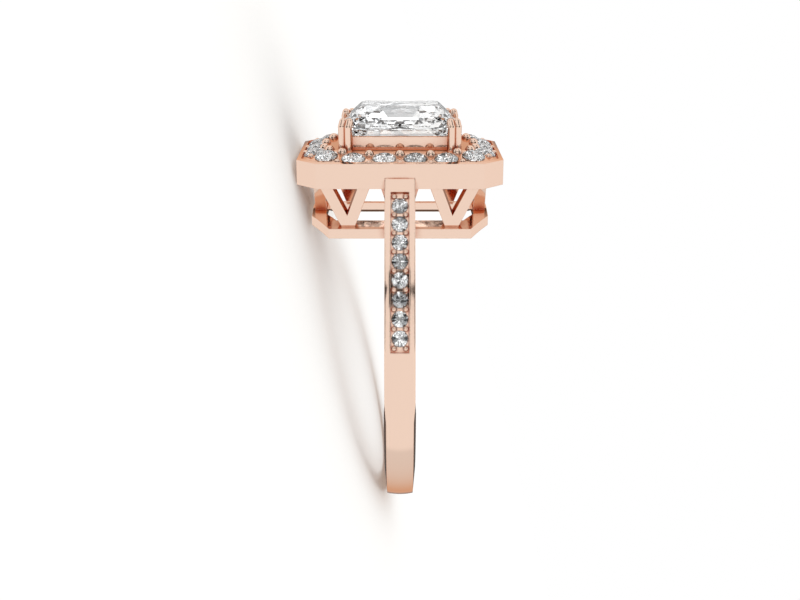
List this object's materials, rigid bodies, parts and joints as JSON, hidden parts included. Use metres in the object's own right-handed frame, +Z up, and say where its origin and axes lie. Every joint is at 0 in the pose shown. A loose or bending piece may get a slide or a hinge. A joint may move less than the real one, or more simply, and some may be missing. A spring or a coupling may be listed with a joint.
{
  "type": "halo ring",
  "caption": "Rose gold halo ring lying on its side: a cut-corner centre stone in double claws, a halo of round stones, pave shoulders and a pierced gallery of V struts.",
  "frame": {"origin": "Middle of the bounding box at its bottom, on the surface that the ring lies on.", "axes": "The ring lies on its side. X runs from the head, at -X, to the foot of the shank, at +X. Y runs across the ring, with the side seen in the picture at -Y. Z is up. The finger hole points up and leans 14 degrees towards +X."},
  "size_m": [0.0258, 0.0204, 0.0125],
  "materials": {
    "rose_gold": "polished 14 carat rose gold",
    "stone": "clear colourless cut stone"
  },
  "bodies": {
    "root": {"ring_mount": "rose_gold", "centre_stone": "stone", "halo_stone_1": "stone", "halo_stone_2": "stone", "halo_stone_3": "stone", "halo_stone_4": "stone", "halo_stone_5": "stone", "halo_stone_6": "stone", "halo_stone_7": "stone", "halo_stone_8": "stone", "halo_stone_9": "stone", "halo_stone_10": "stone", "halo_stone_11": "stone", "halo_stone_12": "stone", "halo_stone_13": "stone", "halo_stone_14": "stone", "halo_stone_15": "stone", "halo_stone_16": "stone", "halo_stone_17": "stone", "halo_stone_18": "stone", "shoulder_stone_front_1": "stone", "shoulder_stone_front_2": "stone", "shoulder_stone_front_3": "stone", "shoulder_stone_front_4": "stone", "shoulder_stone_front_5": "stone", "shoulder_stone_front_6": "stone", "shoulder_stone_front_7": "stone", "shoulder_stone_front_8": "stone", "shoulder_stone_back_1": "stone", "shoulder_stone_back_2": "stone", "shoulder_stone_back_3": "stone", "shoulder_stone_back_4": "stone", "shoulder_stone_back_5": "stone", "shoulder_stone_back_6": "stone", "shoulder_stone_back_7": "stone", "shoulder_stone_back_8": "stone"}
  },
  "joints": []
}
